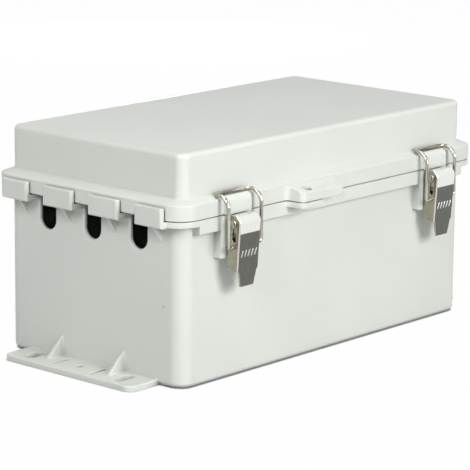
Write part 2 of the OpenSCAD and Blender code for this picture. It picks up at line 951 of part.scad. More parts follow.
// Flat tongue of the lever below its cheeks, narrowing to the tip
module lever_tip() {
    top = -lever_shoulder + bite;
    intersection() {
        along_x(0, lever_w)
            polygon([
                [-lever_roll_r - lever_slope * top, top],
                [-lever_roll_r + lever_slope * lever_l, -lever_l],
                [-lever_roll_r + lever_slope * lever_l + sheet_t, -lever_l],
                [-lever_roll_r - lever_slope * top + sheet_t, top]
            ]);
        along_y(0, 4 * lever_roll_r)
            polygon([
                [-lever_root_w / 2, top],
                [lever_root_w / 2, top],
                [lever_tip_w / 2, -lever_l],
                [-lever_tip_w / 2, -lever_l]
            ]);
    }
}

// Window through both cheeks, with round ends
module cheek_window() {
    half = window_w / 2;
    along_x(0, 2 * lever_w)
        translate([(pivot_y + bail_y) / 2, 0]) {
            translate([-half, window_low + half])
                square([window_w, window_top - window_low - window_w]);
            for (z = [window_low + half, window_top - half])
                translate([0, z])
                    circle(half);
        }
}

module latch_lever(side) {
    color(steel)
        at_latch(side)
            difference() {
                translate([0, pivot_y, pivot_z]) {
                    difference() {
                        along_x(0, lever_w)
                            lever_side();
                        along_x(0, lever_w - 2 * sheet_t)
                            lever_hollow();
                    }
                    lever_tip();
                }
                bar_x(-lever_w, lever_w, pivot_y, pivot_z, pivot_d / 2 + run_fit);
                bar_x(-lever_w, lever_w, bail_y, bail_z, wire_r + run_fit);
                cheek_window();
            }
}

// Quarter of a ring of wire about the origin, from +X to +Y
module wire_bend(bend_r) {
    rotate_extrude(angle = 90)
        translate([bend_r, 0])
            circle(wire_r);
}

// Wire bail: a crossbar, two corners, two forward arcs, two legs and two ends turned into the lever
module latch_bail(side) {
    leg_x = bail_w / 2;
    arc_z = hook_z - bail_arc_r;
    color(steel)
        at_latch(side) {
            bar_x(-leg_x + bail_bend_r, leg_x - bail_bend_r, hook_y, hook_z, wire_r);
            for (end = [0, 1])
                mirror([end, 0, 0]) {
                    translate([leg_x - bail_bend_r, hook_y - bail_bend_r, hook_z])
                        wire_bend(bail_bend_r);
                    translate([leg_x, hook_y - bail_bend_r, arc_z])
                        rotate([90, 0, -90])
                            wire_bend(bail_arc_r);
                    translate([leg_x, bail_y, bail_z + bail_foot_r])
                        cylinder(h = arc_z - bail_z - bail_foot_r, r = wire_r);
                    translate([leg_x - bail_foot_r, bail_y, bail_z + bail_foot_r])
                        rotate([-90, 0, 0])
                            wire_bend(bail_foot_r);
                    bar_x(bail_end_x, leg_x - bail_foot_r, bail_y, bail_z, wire_r);
                }
        }
}

module latch_screws(side) {
    color(zinc)
        at_latch(side)
            for (rise = bracket_screw_rise)
                translate([0, bracket_y, bracket_foot + rise])
                    rotate([90, 0, 0]) {
                        cylinder(h = screw_head_t, r = screw_head_r);
                        translate([0, 0, -bracket_screw_l])
                            cylinder(h = bracket_screw_l, d = bracket_screw_d);
                    }
}

module mounting_plate() {
    color(zinc)
        difference() {
            translate([0, 0, plate_z])
                slab(plate_l, plate_w, plate_t, plate_corner_r);
            at_plate_screws()
                translate([0, 0, plate_z - over])
                    cylinder(h = plate_t + 2 * over, d = plate_screw_d + plate_hole_play);
            at_rail_screws()
                translate([0, 0, plate_z - over])
                    cylinder(h = plate_t + 2 * over, d = plate_screw_d + 2 * seat_gap);
        }
}

module plate_inserts() {
    color(brass)
        at_plate_screws()
            translate([0, 0, floor_boss_z - insert_l])
                difference() {
                    cylinder(h = insert_l, d = insert_d);
                    translate([0, 0, -over])
                        cylinder(h = insert_l + 2 * over, d = plate_screw_d + 2 * seat_gap);
                }
}

module plate_washers() {
    color(zinc)
        at_plate_screws()
            translate([0, 0, plate_z + plate_t])
                difference() {
                    cylinder(h = washer_t, d = washer_d);
                    translate([0, 0, -over])
                        cylinder(h = washer_t + 2 * over, d = plate_screw_d + washer_play);
                }
}

module plate_screws() {
    seat_z = plate_z + plate_t + washer_t;
    end_z = floor_boss_z - insert_l + screw_end_gap;
    color(zinc)
        at_plate_screws() {
            translate([0, 0, end_z])
                cylinder(h = seat_z - end_z, d = plate_screw_d);
            translate([0, 0, seat_z])
                cylinder(h = plate_head_t, d = plate_head_d);
        }
}

module terminal_rail() {
    color(zinc)
        difference() {
            along_x(0, rail_l)
                translate([0, rail_z]) {
                    translate([-rail_channel_w / 2, 0])
                        square([rail_channel_w, rail_sheet]);
                    for (side = [0, 1])
                        mirror([side, 0]) {
                            translate([rail_channel_w / 2 - rail_sheet, 0])
                                square([rail_sheet, rail_h]);
                            translate([rail_channel_w / 2 - rail_sheet, rail_h - rail_sheet])
                                square([(rail_w - rail_channel_w) / 2 + rail_sheet, rail_sheet]);
                        }
                }
            at_rail_screws()
                translate([0, 0, rail_z - over])
                    cylinder(h = rail_sheet + 2 * over, d = plate_screw_d + plate_hole_play);
        }
}

module rail_screws() {
    seat_z = rail_z + rail_sheet;
    end_z = plate_z - rail_screw_below;
    color(zinc)
        at_rail_screws() {
            translate([0, 0, end_z])
                cylinder(h = seat_z - end_z, d = plate_screw_d);
            translate([0, 0, seat_z])
                cylinder(h = plate_head_t, d = plate_head_d);
        }
}

// Foot outline about the rail's top: two jaws that reach round the flanges
module rail_foot() {
    jaw_y = rail_w / 2 + terminal_gap;
    for (side = [0, 1])
        mirror([side, 0]) {
            translate([jaw_y, -terminal_foot_h])
                square([terminal_foot_w / 2 - jaw_y, terminal_foot_h + bite]);
            translate([jaw_y - terminal_lip, -terminal_foot_h])
                square([terminal_lip + bite, terminal_foot_h - rail_sheet - terminal_gap]);
        }
}

// Body outline of a terminal block about the rail's top
module terminal_side() {
    foot = terminal_foot_w / 2;
    top = terminal_top_w / 2;
    polygon([
        [-foot, seat_gap],
        [foot, seat_gap],
        [foot, terminal_shoulder],
        [top, terminal_shoulder + terminal_slope],
        [top, terminal_h],
        [-top, terminal_h],
        [-top, terminal_shoulder + terminal_slope],
        [-foot, terminal_shoulder]
    ]);
}

module terminal_blocks() {
    screw_floor = terminal_shoulder + terminal_slope / 2 - terminal_bore_depth;
    color(terminal_grey)
        at_terminals()
            difference() {
                along_x(0, terminal_t) {
                    terminal_side();
                    rail_foot();
                }
                for (side = [-1, 1]) {
                    translate([0, side * terminal_screw_y, screw_floor])
                        cylinder(h = terminal_h, d = terminal_screw_d + 2 * seat_gap);
                    translate([0, side * (terminal_foot_w / 2 + over), wire_entry_z])
                        rotate([side * 90, 0, 0])
                            cylinder(h = wire_entry_depth + over, d = wire_entry_d);
                }
            }
}

// Clamp screws of the terminals, each with a slit for a screwdriver
module terminal_screws() {
    screw_floor = terminal_shoulder + terminal_slope / 2 - terminal_bore_depth;
    color(zinc)
        at_terminals()
            for (side = [-1, 1])
                translate([0, side * terminal_screw_y, screw_floor])
                    difference() {
                        cylinder(h = terminal_screw_l, d = terminal_screw_d);
                        translate([-terminal_screw_d, -terminal_slit_w / 2, terminal_screw_l - bite])
                            cube([2 * terminal_screw_d, terminal_slit_w, 2 * bite]);
                    }
}

// Clamps that hold the row of terminals on the rail
module rail_end_stops() {
    foot = terminal_foot_w / 2;
    color(terminal_grey)
        for (side = [-1, 1])
            translate([side * (terminal_row_l + stop_t) / 2, 0, rail_top])
                along_x(0, stop_t) {
                    polygon([
                        [-foot, seat_gap],
                        [foot, seat_gap],
                        [terminal_top_w / 2, stop_h],
                        [-terminal_top_w / 2, stop_h]
                    ]);
                    rail_foot();
                }
}

base_shell();
lid_shell();
lid_gasket();
hinge_pin(-1);  // hinge_pin_left
hinge_pin(1);  // hinge_pin_right
latch_bracket(-1);  // left_latch_bracket
latch_pivot_pin(-1);  // left_latch_pivot_pin
latch_lever(-1);  // left_latch_lever
latch_bail(-1);  // left_latch_bail
latch_screws(-1);  // left_latch_screws
latch_bracket(1);  // right_latch_bracket
latch_pivot_pin(1);  // right_latch_pivot_pin
latch_lever(1);  // right_latch_lever
latch_bail(1);  // right_latch_bail
latch_screws(1);  // right_latch_screws
mounting_plate();
plate_inserts();
plate_washers();
plate_screws();
terminal_rail();
rail_screws();
terminal_blocks();
terminal_screws();
rail_end_stops();
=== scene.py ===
import json
import math

import bmesh
import bpy
from mathutils import Matrix, Vector
from mathutils.bvhtree import BVHTree

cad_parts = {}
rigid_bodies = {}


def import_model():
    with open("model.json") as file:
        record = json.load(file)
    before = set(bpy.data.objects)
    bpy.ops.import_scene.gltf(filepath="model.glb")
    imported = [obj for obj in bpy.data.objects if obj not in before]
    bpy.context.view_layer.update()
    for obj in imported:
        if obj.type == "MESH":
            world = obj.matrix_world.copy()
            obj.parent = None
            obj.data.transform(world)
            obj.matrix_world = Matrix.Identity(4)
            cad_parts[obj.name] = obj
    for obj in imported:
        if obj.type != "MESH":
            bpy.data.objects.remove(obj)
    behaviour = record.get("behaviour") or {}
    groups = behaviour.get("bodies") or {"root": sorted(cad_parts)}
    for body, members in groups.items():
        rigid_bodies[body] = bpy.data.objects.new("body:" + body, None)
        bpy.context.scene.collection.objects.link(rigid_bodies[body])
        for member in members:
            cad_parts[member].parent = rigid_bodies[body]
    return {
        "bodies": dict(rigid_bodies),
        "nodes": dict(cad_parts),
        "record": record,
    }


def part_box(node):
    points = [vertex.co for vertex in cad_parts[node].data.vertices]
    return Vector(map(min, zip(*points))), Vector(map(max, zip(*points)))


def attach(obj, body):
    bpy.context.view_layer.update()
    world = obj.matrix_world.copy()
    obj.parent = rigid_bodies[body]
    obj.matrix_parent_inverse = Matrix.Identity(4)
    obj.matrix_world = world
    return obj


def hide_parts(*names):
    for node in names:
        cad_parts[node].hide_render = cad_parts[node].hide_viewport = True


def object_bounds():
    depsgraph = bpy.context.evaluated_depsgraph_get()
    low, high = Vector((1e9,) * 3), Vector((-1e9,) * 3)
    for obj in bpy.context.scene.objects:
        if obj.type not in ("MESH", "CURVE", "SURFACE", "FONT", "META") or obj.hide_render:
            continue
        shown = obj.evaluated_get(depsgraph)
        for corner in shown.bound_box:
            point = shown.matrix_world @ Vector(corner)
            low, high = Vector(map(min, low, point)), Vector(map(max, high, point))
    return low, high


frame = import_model()
cad_low, cad_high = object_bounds()
nodes = frame["nodes"]
scene = bpy.context.scene

MM = 0.001

# Camera: place and angles of the viewpoint, in metres and degrees
CAMERA_PLACE = Vector((-1.3250, -1.1629, 0.4650))
CAMERA_AZIMUTH = 48.572
CAMERA_ELEVATION = 12.694
CAMERA_ROLL = 0.600
SENSOR_WIDTH = 36.0
CAMERA_LENS = 193.62

# Light: ambient strength and colour, and each soft lamp's direction, distance, size and power
AMBIENT = 0.04
AMBIENT_COLOUR = (0.99, 1.0, 1.02)
WHITE = (1.0, 1.0, 1.0)
LAMPS = {
    "front_lamp": ((-0.060, -0.935, 0.350), 1.5, 0.7, 16.6),
    "left_lamp": ((-0.800, -0.180, 0.572), 1.5, 0.82, 12.5),
    "top_lamp": ((0.0, 0.0, 1.0), 2.2, 1.2, 11.8),
    "back_lamp": ((0.700, 0.714, 0.0), 1.6, 0.14, 9.0),
}
LAMP_TARGET = Vector((0.0, 0.0, 0.08))

# Floor: its size, its colour for bounced light, the share of it that shows as plain white, and how near
# to the object that white gives way to the contact shadow
FLOOR_SIZE = 12.0
FLOOR_COLOUR = (0.62, 0.62, 0.62, 1.0)
FLOOR_WHITE_SHARE = 0.985
FLOOR_CONTACT = 1.6 * MM
FLOOR_CONTACT_RANGE = (0.45, 0.95)
FLOOR_CONTACT_SAMPLES = 8
FLOOR_GAP = 0.05 * MM


def new_camera():
    azimuth = math.radians(CAMERA_AZIMUTH)
    elevation = math.radians(CAMERA_ELEVATION)
    roll = math.radians(CAMERA_ROLL)
    forward = Vector((
        math.sin(azimuth) * math.cos(elevation),
        math.cos(azimuth) * math.cos(elevation),
        -math.sin(elevation),
    ))
    level = Vector((math.cos(azimuth), -math.sin(azimuth), 0.0))
    upright = level.cross(forward)
    right = level * math.cos(roll) + upright * math.sin(roll)
    up = upright * math.cos(roll) - level * math.sin(roll)
    camera = bpy.data.objects.new("camera", bpy.data.cameras.new("camera"))
    camera.data.sensor_fit = "HORIZONTAL"
    camera.data.sensor_width = SENSOR_WIDTH
    camera.data.lens = CAMERA_LENS
    axes = Matrix((right, up, -forward)).transposed().to_4x4()
    camera.matrix_world = Matrix.Translation(CAMERA_PLACE) @ axes
    scene.collection.objects.link(camera)
    scene.camera = camera


def new_lamp(name, direction, distance, size, power):
    lamp = bpy.data.lights.new(name, "AREA")
    lamp.shape = "DISK"
    lamp.size = size
    lamp.energy = power
    holder = bpy.data.objects.new(name, lamp)
    toward = Vector(direction).normalized()
    turn = toward.to_track_quat("Z", "Y").to_matrix().to_4x4()
    holder.matrix_world = Matrix.Translation(LAMP_TARGET + toward * distance) @ turn
    scene.collection.objects.link(holder)


class Web:
    """Short way to add and link the nodes of one node tree."""

    def __init__(self, tree):
        self.tree = tree
        tree.nodes.clear()

    def add(self, kind, settings=None, **sockets):
        node = self.tree.nodes.new(kind)
        for name, value in (settings or {}).items():
            setattr(node, name, value)
        for name, value in sockets.items():
            self.feed(node.inputs[name.replace("_", " ")], value)
        return node

    def feed(self, socket, value):
        if isinstance(value, bpy.types.NodeSocket):
            self.tree.links.new(value, socket)
        else:
            socket.default_value = value

    def math(self, operation, *values):
        node = self.tree.nodes.new("ShaderNodeMath")
        node.operation = operation
        for socket, value in zip(node.inputs, values):
            self.feed(socket, value)
        return node.outputs[0]

    def ramp(self, value, start, end, low=0.0, high=1.0):
        """Value carried from the range start to end onto the range low to high, clamped."""
        node = self.add("ShaderNodeMapRange", Value=value)
        node.inputs["From Min"].default_value = start
        node.inputs["From Max"].default_value = end
        node.inputs["To Min"].default_value = low
        node.inputs["To Max"].default_value = high
        return node.outputs["Result"]

    def blend(self, factor, first, second):
        """Colour between first and second."""
        node = self.tree.nodes.new("ShaderNodeMix")
        node.data_type = "RGBA"
        colours = [socket for socket in node.inputs if socket.type == "RGBA"]
        self.feed(node.inputs["Factor"], factor)
        for socket, colour in zip(colours, (first, second)):
            self.feed(socket, colour if isinstance(colour, bpy.types.NodeSocket) else (*colour, 1.0))
        return [socket for socket in node.outputs if socket.type == "RGBA"][0]


def seen_ray(web):
    """1 for rays that show the background itself: straight, mirrored or through glass."""
    path = web.add("ShaderNodeLightPath")
    mirrored = web.math("MAXIMUM", path.outputs["Is Camera Ray"], path.outputs["Is Glossy Ray"])
    return web.math("MAXIMUM", mirrored, path.outputs["Is Transmission Ray"])


def new_world():
    world = bpy.data.worlds.new("studio")
    world.use_nodes = True
    web = Web(world.node_tree)
    seen = seen_ray(web)
    tint = web.blend(seen, AMBIENT_COLOUR, WHITE)
    strength = web.ramp(seen, 0.0, 1.0, AMBIENT, 1.0)
    light = web.add("ShaderNodeBackground", Color=tint, Strength=strength)
    web.add("ShaderNodeOutputWorld", Surface=light.outputs["Background"])
    scene.world = world


def new_floor():
    half = FLOOR_SIZE / 2
    mesh = bpy.data.meshes.new("floor")
    corners = [(-half, -half, 0), (half, -half, 0), (half, half, 0), (-half, half, 0)]
    mesh.from_pydata(corners, [], [(0, 1, 2, 3)])
    floor = bpy.data.objects.new("floor", mesh)
    floor.location.z = cad_low.z - FLOOR_GAP
    scene.collection.objects.link(floor)
    material = bpy.data.materials.new("floor")
    material.use_nodes = True
    web = Web(material.node_tree)
    matt = web.add("ShaderNodeBsdfDiffuse", Color=FLOOR_COLOUR)
    white = web.add("ShaderNodeEmission")
    free = web.add("ShaderNodeAmbientOcclusion", {"samples": FLOOR_CONTACT_SAMPLES}, Distance=FLOOR_CONTACT)
    share = web.ramp(free.outputs["AO"], *FLOOR_CONTACT_RANGE, 0.0, FLOOR_WHITE_SHARE)
    mix = web.add("ShaderNodeMixShader", Fac=web.math("MULTIPLY", seen_ray(web), share))
    web.tree.links.new(matt.outputs[0], mix.inputs[1])
    web.tree.links.new(white.outputs[0], mix.inputs[2])
    web.add("ShaderNodeOutputMaterial", Surface=mix.outputs[0])
    mesh.materials.append(material)


# Materials

NOISE_RANGE = (0.3, 0.7)
FINE_DETAIL = 2.0
PATCH_DETAIL = 3.0
BEVEL_SAMPLES = 6
EVEN = (1.0, 1.0, 1.0)
UPRIGHT_GRAIN = (1.0, 1.0, 0.03)
LEVEL_GRAIN = (0.03, 1.0, 1.0)


def new_material(name, **sockets):
    material = bpy.data.materials.new(name)
    material.use_nodes = True
    web = Web(material.node_tree)
    shader = web.add("ShaderNodeBsdfPrincipled", **sockets)
    web.add("ShaderNodeOutputMaterial", Surface=shader.outputs[0])
    return material, web, shader


def noise(web, grain, detail, stretch=EVEN):
    """Noise whose lumps are about grain metres across, longer along an axis where stretch is small."""
    place = web.add("ShaderNodeTexCoord").outputs["Object"]
    mapping = web.add("ShaderNodeMapping", Vector=place, Scale=stretch)
    lumps = web.add("ShaderNodeTexNoise", Vector=mapping.outputs["Vector"], Scale=1.0 / grain,
                    Detail=detail)
    return lumps.outputs["Fac"]


def spread_noise(web, grain, detail, stretch=EVEN):
    """The same noise, spread to the full range from 0 to 1."""
    return web.ramp(noise(web, grain, detail, stretch), *NOISE_RANGE)


def surface(web, shader, colour, rough, grain, bump, stretch=EVEN, soft_edge=0.0):
    """Colour, uneven gloss and a fine raised grain, with corners that look softened by soft_edge metres."""
    web.tree.links.new(colour, shader.inputs["Base Color"])
    fine = noise(web, grain, FINE_DETAIL, stretch)
    web.tree.links.new(web.ramp(fine, *NOISE_RANGE, *rough), shader.inputs["Roughness"])
    raised = web.add("ShaderNodeBump", Height=fine, Distance=bump)
    if soft_edge:
        edge = web.add("ShaderNodeBevel", {"samples": BEVEL_SAMPLES}, Radius=soft_edge)
        web.tree.links.new(edge.outputs["Normal"], raised.inputs["Normal"])
    web.tree.links.new(raised.outputs["Normal"], shader.inputs["Normal"])


def plain_material(name, tones, patch, rough, grain, bump, stretch=EVEN, soft_edge=0.0, **sockets):
    """One substance whose colour drifts between two tones in patches."""
    material, web, shader = new_material(name, **sockets)
    drift = spread_noise(web, patch, PATCH_DETAIL)
    surface(web, shader, web.blend(drift, *tones), rough, grain, bump, stretch, soft_edge)
    return material


def edge_mask(web, radius, start, end):
    """1 on corners and edges, 0 on open faces, by how far a softened normal turns from the true one."""
    soft = web.add("ShaderNodeBevel", {"samples": BEVEL_SAMPLES}, Radius=radius)
    true = web.add("ShaderNodeNewGeometry")
    turn = web.add("ShaderNodeVectorMath", {"operation": "DOT_PRODUCT"})
    web.tree.links.new(soft.outputs["Normal"], turn.inputs[0])
    web.tree.links.new(true.outputs["Normal"], turn.inputs[1])
    return web.ramp(turn.outputs["Value"], end, start, 1.0, 0.0)


# Housing colour: the resin's colour is darkened as painted shade deep in slots, in corners and close behind
# the latches
RESIN_IOR = 1.50
RESIN_ROUGH = (0.36, 0.46)
RESIN_GRAIN = 0.45 * MM
RESIN_BUMP = 0.010 * MM
RESIN_EDGE = 0.7 * MM
HOUSING_TONES = ((0.640, 0.667, 0.622), (0.664, 0.692, 0.646))
HOUSING_PATCH = 60 * MM
RECESS_SHADE_TONE = (0.24, 0.25, 0.235)
RECESS_SHADE_REACH = 14 * MM
RECESS_SHADE_RANGE = (0.10, 0.54)
RECESS_SHADE_SAMPLES = 8


def housing_material():
    material, web, shader = new_material("housing_plastic", IOR=RESIN_IOR)
    drift = spread_noise(web, HOUSING_PATCH, PATCH_DETAIL)
    # Painted shade: where ambient occlusion finds little open space, the colour goes towards the dark
    # recess tone
    free = web.add("ShaderNodeAmbientOcclusion", {"samples": RECESS_SHADE_SAMPLES}, Distance=RECESS_SHADE_REACH)
    unshaded_share = web.ramp(free.outputs["AO"], *RECESS_SHADE_RANGE)
    colour = web.blend(unshaded_share, RECESS_SHADE_TONE, web.blend(drift, *HOUSING_TONES))
    surface(web, shader, colour, RESIN_ROUGH, RESIN_GRAIN, RESIN_BUMP, soft_edge=RESIN_EDGE)
    return material


# Lever colour, painted by facing as painted reflection: the flat face below FACE_TOP is dark, the rolled
# top is bright, the folds and cheeks take their own tones, and all edges carry a painted highlight.
# The facing values are parts of the surface's direction: forward for the face, sideways for the folds and
# cheeks.
FACE_TOP = 102.7 * MM
FACE_BLEND = 0.25 * MM
ROLL_TONES = ((0.82, 0.83, 0.79), (0.85, 0.86, 0.82))
FACE_DARK_REFLECTION_TONES = ((0.120, 0.121, 0.108), (0.165, 0.166, 0.150))
CHEEK_REFLECTION_TONES = ((0.33, 0.305, 0.235), (0.42, 0.39, 0.30))
FOLD_REFLECTION_TONES = ((0.60, 0.57, 0.50), (0.68, 0.65, 0.575))
EDGE_HIGHLIGHT_TONE = (0.80, 0.775, 0.69)
FRONT_FACING = (-0.975, -0.93)
FOLD_FACING = (0.20, 0.36)
CHEEK_FACING = (0.93, 0.975)
BRIGHT_EDGE = 0.35 * MM
BRIGHT_EDGE_RANGE = (0.99, 0.90)
STREAK_WIDTH = 0.5 * MM
LEVER_PATCH = 5 * MM
LEVER_ROUGH = (0.20, 0.32)
SHEET_GRAIN = 0.25 * MM
SHEET_BUMP = 0.004 * MM
SHEET_EDGE = 0.2 * MM


def lever_material():
    material, web, shader = new_material("lever_steel", Metallic=1.0)
    coordinates = web.add("ShaderNodeTexCoord")
    place = web.add("ShaderNodeSeparateXYZ", Vector=coordinates.outputs["Object"])
    facing = web.add("ShaderNodeSeparateXYZ", Vector=coordinates.outputs["Normal"])
    streaks = spread_noise(web, STREAK_WIDTH, PATCH_DETAIL, UPRIGHT_GRAIN)
    patches = spread_noise(web, LEVER_PATCH, FINE_DETAIL)
    below = web.ramp(place.outputs["Z"], FACE_TOP - FACE_BLEND, FACE_TOP + FACE_BLEND, 1.0, 0.0)
    front = web.ramp(facing.outputs["Y"], *FRONT_FACING, 1.0, 0.0)
    sideways = web.math("ABSOLUTE", facing.outputs["X"])
    colour = web.blend(patches, *ROLL_TONES)
    # Painted reflection: the front-facing face below FACE_TOP is painted dark
    colour = web.blend(web.math("MULTIPLY", below, front), colour, web.blend(streaks, *FACE_DARK_REFLECTION_TONES))
    # Painted reflection: folds and cheeks take their own tones by how far they face sideways
    colour = web.blend(web.ramp(sideways, *FOLD_FACING), colour, web.blend(streaks, *FOLD_REFLECTION_TONES))
    colour = web.blend(web.ramp(sideways, *CHEEK_FACING), colour, web.blend(patches, *CHEEK_REFLECTION_TONES))
    # Painted highlight: every edge is painted bright
    colour = web.blend(edge_mask(web, BRIGHT_EDGE, *BRIGHT_EDGE_RANGE), colour, EDGE_HIGHLIGHT_TONE)
    surface(web, shader, colour, LEVER_ROUGH, SHEET_GRAIN, SHEET_BUMP, UPRIGHT_GRAIN, SHEET_EDGE)
    return material


# Wire finish: drawn lines run along the legs and, above CROSSBAR_LOW, along the crossbar
CROSSBAR_LOW = 124.0 * MM
CROSSBAR_BLEND = 1.5 * MM
WIRE_TONES = ((0.20, 0.185, 0.15), (0.66, 0.64, 0.58))
WIRE_LINES = (0.38, 0.60)
WIRE_LINE_WIDTH = 0.9 * MM
WIRE_LINE_DETAIL = 1.0
WIRE_ROUGH = (0.12, 0.20)
POLISH_GRAIN = 0.20 * MM
POLISH_BUMP = 0.003 * MM


def wire_material():
    material, web, shader = new_material("wire_steel", Metallic=1.0)
    place = web.add("ShaderNodeSeparateXYZ", Vector=web.add("ShaderNodeTexCoord").outputs["Object"])
    legs = noise(web, WIRE_LINE_WIDTH, WIRE_LINE_DETAIL, UPRIGHT_GRAIN)
    crossbar = noise(web, WIRE_LINE_WIDTH, WIRE_LINE_DETAIL, LEVEL_GRAIN)
    high = web.ramp(place.outputs["Z"], CROSSBAR_LOW, CROSSBAR_LOW + CROSSBAR_BLEND)
    lines = web.add("ShaderNodeMix", {"data_type": "FLOAT"}, Factor=high, A=legs, B=crossbar)
    colour = web.blend(web.ramp(lines.outputs["Result"], *WIRE_LINES), *WIRE_TONES)
    surface(web, shader, colour, WIRE_ROUGH, POLISH_GRAIN, POLISH_BUMP)
    return material


def make_materials():
    return {
        "housing": housing_material(),
        "gate": plain_material(
            "gate_plastic", tones=((0.52, 0.545, 0.51), (0.55, 0.575, 0.54)), patch=2 * MM,
            rough=RESIN_ROUGH, grain=RESIN_GRAIN, bump=RESIN_BUMP, IOR=RESIN_IOR),
        "gasket": plain_material(
            "gasket_rubber", tones=((0.020, 0.020, 0.020), (0.034, 0.034, 0.034)), patch=9 * MM,
            rough=(0.70, 0.90), grain=0.30 * MM, bump=0.030 * MM),
        "lever": lever_material(),
        "latch": plain_material(
            "bracket_steel", tones=((0.40, 0.375, 0.31), (0.52, 0.49, 0.42)), patch=6 * MM,
            rough=(0.20, 0.34), grain=SHEET_GRAIN, bump=SHEET_BUMP, stretch=UPRIGHT_GRAIN,
            soft_edge=SHEET_EDGE, Metallic=1.0),
        "wire": wire_material(),
        "pin": plain_material(
            "pin_steel", tones=((0.42, 0.405, 0.35), (0.52, 0.50, 0.44)), patch=5 * MM,
            rough=(0.14, 0.24), grain=POLISH_GRAIN, bump=POLISH_BUMP, Metallic=1.0),
        "rib": plain_material(
            "rib_steel", tones=((0.58, 0.58, 0.54), (0.74, 0.74, 0.70)), patch=0.8 * MM,
            rough=(0.16, 0.26), grain=POLISH_GRAIN, bump=POLISH_BUMP, Metallic=1.0),
        "screw": plain_material(
            "zinc_screw", tones=((0.58, 0.60, 0.61), (0.70, 0.71, 0.71)), patch=2 * MM,
            rough=(0.22, 0.36), grain=0.20 * MM, bump=0.004 * MM, Metallic=1.0),
        "plate": plain_material(
            "zinc_plate", tones=((0.50, 0.52, 0.54), (0.64, 0.66, 0.67)), patch=9 * MM,
            rough=(0.26, 0.42), grain=0.60 * MM, bump=0.004 * MM, Metallic=1.0),
        "insert": plain_material(
            "insert_brass", tones=((0.66, 0.45, 0.17), (0.78, 0.56, 0.26)), patch=3 * MM,
            rough=(0.20, 0.34), grain=0.25 * MM, bump=0.006 * MM, Metallic=1.0),
        "terminal": plain_material(
            "terminal_plastic", tones=((0.20, 0.22, 0.23), (0.25, 0.27, 0.28)), patch=20 * MM,
            rough=(0.40, 0.55), grain=0.40 * MM, bump=0.012 * MM, soft_edge=0.3 * MM, IOR=1.53),
    }


# Pieces

SMOOTH_ANGLE = math.radians(50)
CAD_NORMALS = "custom_normal"
WELD = 0.001 * MM
BOX_DIGITS = 5
TURN = 2 * math.pi
RIGHT = Vector((1, 0, 0))
FRONT = Vector((0, -1, 0))
UP = Vector((0, 0, 1))


def body_name(node_name):
    """Name of the body that a CAD node belongs to."""
    return [name for name, empty in frame["bodies"].items() if nodes[node_name].parent == empty][0]


def finish_piece(name, build, material, body, stands_for=()):
    """Turns a bmesh into a piece of the object, smooth except across sharp edges, on its body."""
    bmesh.ops.recalc_face_normals(build, faces=build.faces)
    mesh = bpy.data.meshes.new(name)
    build.to_mesh(mesh)
    build.free()
    if CAD_NORMALS in mesh.attributes:
        mesh.attributes.remove(mesh.attributes[CAD_NORMALS])
    mesh.polygons.foreach_set("use_smooth", [True] * len(mesh.polygons))
    mesh.set_sharp_from_angle(angle=SMOOTH_ANGLE)
    mesh.materials.append(materials[material])
    piece = bpy.data.objects.new(name, mesh)
    scene.collection.objects.link(piece)
    normals = piece.modifiers.new("normals", "WEIGHTED_NORMAL")
    normals.keep_sharp = True
    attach(piece, body)
    if stands_for:
        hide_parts(*stands_for)


def stand_in(node_name, build, material):
    """Finishes a bmesh as the piece that replaces a CAD node."""
    finish_piece(f"{node_name}_form", build, material, body_name(node_name), (node_name,))


def joined_mesh(source):
    """Editable copy of a mesh with its faces joined at shared corners."""
    build = bmesh.new()
    build.from_mesh(source)
    bmesh.ops.remove_doubles(build, verts=build.verts, dist=WELD)
    return build


def solids(node_name):
    """Lowest and highest corner of each separate solid of a CAD node, in a fixed order."""
    build = joined_mesh(nodes[node_name].data)
    boxes = []
    left = set(build.verts)
    for start in build.verts:
        if start not in left:
            continue
        left.discard(start)
        group = [start]
        for vert in group:
            for edge in vert.link_edges:
                other = edge.other_vert(vert)
                if other in left:
                    left.discard(other)
                    group.append(other)
        low = Vector([min(vert.co[i] for vert in group) for i in range(3)])
        high = Vector([max(vert.co[i] for vert in group) for i in range(3)])
        boxes.append((low, high))
    build.free()
    return sorted(boxes, key=lambda box: [round(value, BOX_DIGITS) for value in box[0]])


# Softened CAD shapes: how far each node's sharp edges are rounded, the limits beyond which a rounded place
# counts as stray, and how near to it, in widths, edges then stay sharp

EDGE_BREAKS = {
    "base_shell": 0.45 * MM,
    "lid_shell": 0.45 * MM,
    "left_latch_lever": 0.20 * MM,
    "right_latch_lever": 0.20 * MM,
    "left_latch_bracket": 0.20 * MM,
    "right_latch_bracket": 0.20 * MM,
    "mounting_plate": 0.25 * MM,
    "plate_washers": 0.12 * MM,
    "terminal_rail": 0.20 * MM,
    "terminal_blocks": 0.30 * MM,
    "rail_end_stops": 0.30 * MM,
}
EDGE_ANGLE = math.radians(35)
EDGE_STEPS = 2
EDGE_TRIES = 6
EDGE_DIGITS = 6
ROUND_PROFILE = 0.5
FLOOR_EDGE = 0.01 * MM
EDGE_WELD = 0.01 * MM
EDGE_REACH = 1.2
STRAY_SHARE = 0.75
STRAY_FACE_SHARE = 0.6
STRAY_FACING = 0.1


def bevel(build, edges, width, steps):
    bmesh.ops.bevel(build, geom=edges, offset=width, offset_type="OFFSET", segments=steps,
                    profile=ROUND_PROFILE, affect="EDGES", clamp_overlap=False, loop_slide=False)


